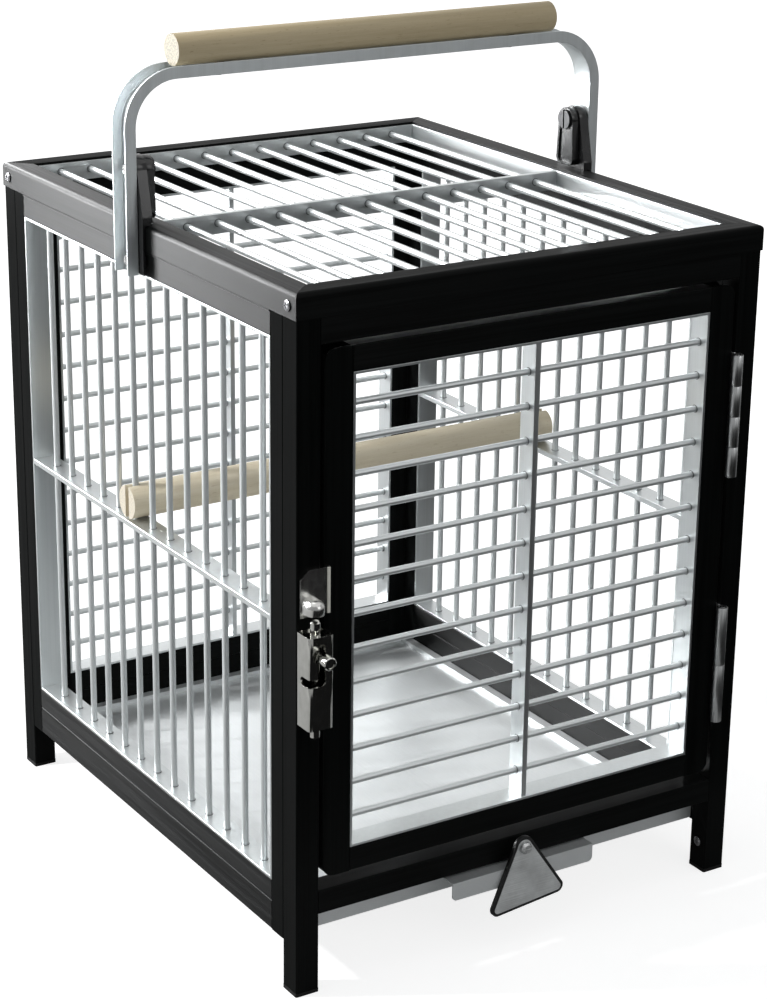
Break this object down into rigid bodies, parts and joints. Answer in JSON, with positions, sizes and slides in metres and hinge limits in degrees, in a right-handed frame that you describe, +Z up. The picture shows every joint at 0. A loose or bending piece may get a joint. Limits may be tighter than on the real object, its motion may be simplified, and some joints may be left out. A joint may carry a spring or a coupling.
{
  "type": "bird travel carrier",
  "caption": "Barred aluminium travel cage for a bird on square post legs, with a hinged door and bolt, pull-out tray, wooden perch and folding handle with a wooden grip.",
  "frame": {"origin": "on the floor under the middle of the whole object's box", "axes": "+X to the right seen from the door, +Y from the door to the back, +Z up"},
  "size_m": [0.4466, 0.5296, 0.7024],
  "materials": {
    "black_frame": "black anodised aluminium, brushed lengthwise, satin",
    "silver_strips": "satin anodised aluminium",
    "silver_bars": "satin drawn rod",
    "handle_metal": "satin anodised aluminium, brushed lengthwise",
    "hinges": "satin steel",
    "latch": "bright plated steel",
    "screws": "bright steel",
    "tray_sheet": "satin sheet with soft reflections",
    "tag_border": "satin black",
    "tag_face": "brushed bare plate",
    "black_plastic": "moulded, finely textured",
    "lock_disc": "dark grey satin",
    "grip_wood": "pale beech, light sheen",
    "perch_wood": "pale untreated dowel"
  },
  "bodies": {
    "cage": {"post_front_left": "black_frame", "post_front_right": "black_frame", "post_back_left": "black_frame", "post_back_right": "black_frame", "foot_plugs": "black_plastic", "roof_side_rails": "black_frame", "roof_end_rails": "black_frame", "roof_liner": "silver_strips", "roof_crossbar": "silver_strips", "roof_bars": "silver_bars", "left_stiles": "black_frame", "left_rails": "black_frame", "left_base_rail": "black_frame", "left_liner": "silver_strips", "left_mid_rail": "silver_strips", "left_bars": "silver_bars", "right_stiles": "black_frame", "right_rails": "black_frame", "right_base_rail": "black_frame", "right_liner": "silver_strips", "right_mid_rail": "silver_strips", "right_bars": "silver_bars", "back_stiles": "black_frame", "back_rails": "black_frame", "back_base_rail": "black_frame", "back_liner": "silver_strips", "back_strip": "silver_strips", "back_bars": "silver_bars", "front_top_rail": "black_frame", "front_bottom_rail": "black_frame", "frame_screws": "screws", "hinge_post_leaves": "hinges", "hinge_pins": "hinges", "latch_housing": "latch", "handle_pivot_screws": "screws", "lock_brackets": "black_plastic"},
    "door": {"door_stiles": "black_frame", "door_rails": "black_frame", "door_liner": "silver_strips", "door_strip": "silver_strips", "door_bars": "silver_bars", "hinge_door_leaves": "hinges", "latch_keeper": "latch"},
    "bolt": {"latch_bolt": "latch", "latch_knob": "latch"},
    "litter_tray": {"tray": "tray_sheet", "tag_screw": "screws"},
    "tag": {"tag_backing": "tag_border", "tag_face": "tag_face"},
    "handle": {"handle_channel": "handle_metal", "handle_grip": "grip_wood", "grip_screws": "screws", "handle_lock_screws": "screws"},
    "left_lever": {"left_lock_lever": "black_plastic", "left_lock_disc": "lock_disc"},
    "right_lever": {"right_lock_lever": "black_plastic", "right_lock_disc": "lock_disc"},
    "perch_rod": {"perch": "perch_wood"}
  },
  "joints": [
    {"name": "door_swing", "type": "hinge", "parent": "cage", "child": "door", "pos_m": [0.18825, -0.23735, 0.306], "axis": [0, 0, 1], "range_deg": [0, 175]},
    {"name": "bolt_slide", "type": "slide", "parent": "cage", "child": "bolt", "axis": [0, 0, 1], "range_m": [-0.019, 0.008]},
    {"name": "tray_slide", "type": "slide", "parent": "cage", "child": "litter_tray", "axis": [0, -1, 0], "range_m": [0, 0.4]},
    {"name": "tag_swing", "type": "hinge", "parent": "litter_tray", "child": "tag", "pos_m": [-0.008, -0.24425, 0.0825], "axis": [0, 1, 0], "range_deg": [-90, 90]},
    {"name": "handle_fold", "type": "hinge", "parent": "cage", "child": "handle", "pos_m": [0, 0.01575, 0.53], "axis": [1, 0, 0], "range_deg": [-68, 68]},
    {"name": "left_lever_turn", "type": "hinge", "parent": "cage", "child": "left_lever", "pos_m": [-0.2, 0.01575, 0.6015], "axis": [1, 0, 0], "range_deg": [0, 90]},
    {"name": "right_lever_turn", "type": "hinge", "parent": "cage", "child": "right_lever", "pos_m": [0.2, 0.01575, 0.6015], "axis": [1, 0, 0], "range_deg": [0, 90]},
    {"name": "perch_lift", "type": "slide", "parent": "cage", "child": "perch_rod", "axis": [0, 0, 1], "range_m": [0, 0.18]}
  ]
}
